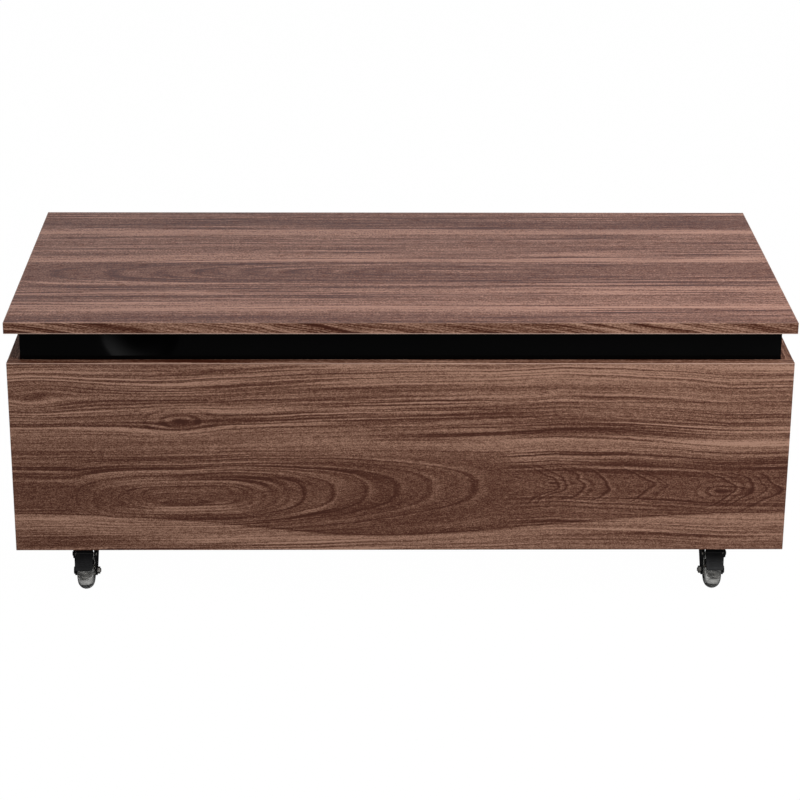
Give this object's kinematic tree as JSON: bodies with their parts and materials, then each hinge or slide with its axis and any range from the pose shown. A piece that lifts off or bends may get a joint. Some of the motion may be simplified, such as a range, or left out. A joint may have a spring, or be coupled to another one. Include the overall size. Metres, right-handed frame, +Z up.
{
  "type": "lift top coffee table",
  "caption": "Low walnut-look storage table on casters whose slab top lifts up and forward on sprung arms above a recessed black riser.",
  "frame": {"origin": "on the floor under the middle of the table", "axes": "+X along the width to the right as seen from the front, +Y from the front to the back, +Z up"},
  "size_m": [1.2, 0.58, 0.459],
  "materials": {
    "walnut_board": "satin walnut-look laminate",
    "walnut_edge": "satin walnut-look edge band",
    "black_board": "semi-gloss black laminate",
    "bumper_rubber": "soft black rubber",
    "dowel_beech": "plain beech",
    "zinc": "bright zinc plate",
    "black_steel": "black powder coat",
    "spring_steel": "oiled spring steel",
    "nylon": "natural nylon",
    "pedal_plastic": "fine-grained black plastic",
    "hub_plastic": "clear moulded plastic",
    "clear_tyre": "clear polyurethane"
  },
  "bodies": {
    "carcass": {"front_panel": "walnut_board", "back_panel": "walnut_board", "left_panel": "walnut_board", "right_panel": "walnut_board", "panel_edge_bands": "walnut_edge", "bottom_panel": "black_board", "cam_locks": "zinc", "cam_bolts": "zinc", "bottom_dowels": "dowel_beech", "front_riser": "black_board", "back_riser": "black_board", "left_riser": "black_board", "right_riser": "black_board", "riser_bumpers": "bumper_rubber", "riser_screws": "zinc", "left_base_bracket": "black_steel", "right_base_bracket": "black_steel", "base_bracket_screws": "zinc", "shaft_bushes": "nylon", "rear_arm_pins": "zinc", "rear_arm_washers": "nylon", "lift_springs": "spring_steel", "caster_plates": "black_steel", "caster_races": "zinc", "caster_kingpins": "zinc", "caster_screws": "zinc"},
    "front_arms": {"left_front_arm": "black_steel", "right_front_arm": "black_steel", "lift_shaft": "black_steel"},
    "rear_arms": {"left_rear_arm": "black_steel", "right_rear_arm": "black_steel"},
    "top": {"top_slab": "walnut_board", "top_edge_bands": "walnut_edge", "left_top_bracket": "black_steel", "right_top_bracket": "black_steel", "top_bracket_screws": "zinc", "top_pivot_pins": "zinc", "top_pivot_washers": "nylon"},
    "front_left_swivel": {"front_left_fork": "black_steel", "front_left_axle": "zinc", "front_left_pedal_pin": "zinc"},
    "front_left_wheel": {"front_left_hub": "hub_plastic", "front_left_tyre": "clear_tyre"},
    "front_left_brake": {"front_left_pedal": "pedal_plastic"},
    "front_right_swivel": {"front_right_fork": "black_steel", "front_right_axle": "zinc", "front_right_pedal_pin": "zinc"},
    "front_right_wheel": {"front_right_hub": "hub_plastic", "front_right_tyre": "clear_tyre"},
    "front_right_brake": {"front_right_pedal": "pedal_plastic"},
    "rear_left_swivel": {"rear_left_fork": "black_steel", "rear_left_axle": "zinc"},
    "rear_left_wheel": {"rear_left_hub": "hub_plastic", "rear_left_tyre": "clear_tyre"},
    "rear_right_swivel": {"rear_right_fork": "black_steel", "rear_right_axle": "zinc"},
    "rear_right_wheel": {"rear_right_hub": "hub_plastic", "rear_right_tyre": "clear_tyre"}
  },
  "joints": [
    {"name": "lift", "type": "hinge", "parent": "carcass", "child": "front_arms", "pos_m": [0, -0.05786, 0.38638], "axis": [1, 0, 0], "range_deg": [0, 110], "deforming": ["lift_springs"]},
    {"name": "rear_arm_turn", "type": "hinge", "parent": "carcass", "child": "rear_arms", "pos_m": [0, 0.01214, 0.36138], "axis": [1, 0, 0], "range_deg": [0, 110]},
    {"name": "top_level", "type": "hinge", "parent": "front_arms", "child": "top", "pos_m": [0, 0.16, 0.417], "axis": [1, 0, 0], "range_deg": [-110, 0]},
    {"name": "front_left_swivel", "type": "hinge", "parent": "carcass", "child": "front_left_swivel", "pos_m": [-0.4955, -0.2195, 0.08], "axis": [0, 0, 1], "continuous": true},
    {"name": "front_left_roll", "type": "hinge", "parent": "front_left_swivel", "child": "front_left_wheel", "pos_m": [-0.4955, -0.2455, 0.0295], "axis": [1, 0, 0], "continuous": true},
    {"name": "front_left_brake", "type": "hinge", "parent": "front_left_swivel", "child": "front_left_brake", "pos_m": [-0.4955, -0.26, 0.065], "axis": [1, 0, 0], "range_deg": [0, 8]},
    {"name": "front_right_swivel", "type": "hinge", "parent": "carcass", "child": "front_right_swivel", "pos_m": [0.4955, -0.2195, 0.08], "axis": [0, 0, 1], "continuous": true},
    {"name": "front_right_roll", "type": "hinge", "parent": "front_right_swivel", "child": "front_right_wheel", "pos_m": [0.4955, -0.2455, 0.0295], "axis": [1, 0, 0], "continuous": true},
    {"name": "front_right_brake", "type": "hinge", "parent": "front_right_swivel", "child": "front_right_brake", "pos_m": [0.4955, -0.26, 0.065], "axis": [1, 0, 0], "range_deg": [0, 8]},
    {"name": "rear_left_swivel", "type": "hinge", "parent": "carcass", "child": "rear_left_swivel", "pos_m": [-0.4955, 0.2195, 0.08], "axis": [0, 0, 1], "continuous": true},
    {"name": "rear_left_roll", "type": "hinge", "parent": "rear_left_swivel", "child": "rear_left_wheel", "pos_m": [-0.4955, 0.2455, 0.0295], "axis": [1, 0, 0], "continuous": true},
    {"name": "rear_right_swivel", "type": "hinge", "parent": "carcass", "child": "rear_right_swivel", "pos_m": [0.4955, 0.2195, 0.08], "axis": [0, 0, 1], "continuous": true},
    {"name": "rear_right_roll", "type": "hinge", "parent": "rear_right_swivel", "child": "rear_right_wheel", "pos_m": [0.4955, 0.2455, 0.0295], "axis": [1, 0, 0], "continuous": true}
  ],
  "couplings": [
    {"joint": "rear_arm_turn", "follows": "lift", "ratio": 1},
    {"joint": "top_level", "follows": "lift", "ratio": -1}
  ]
}
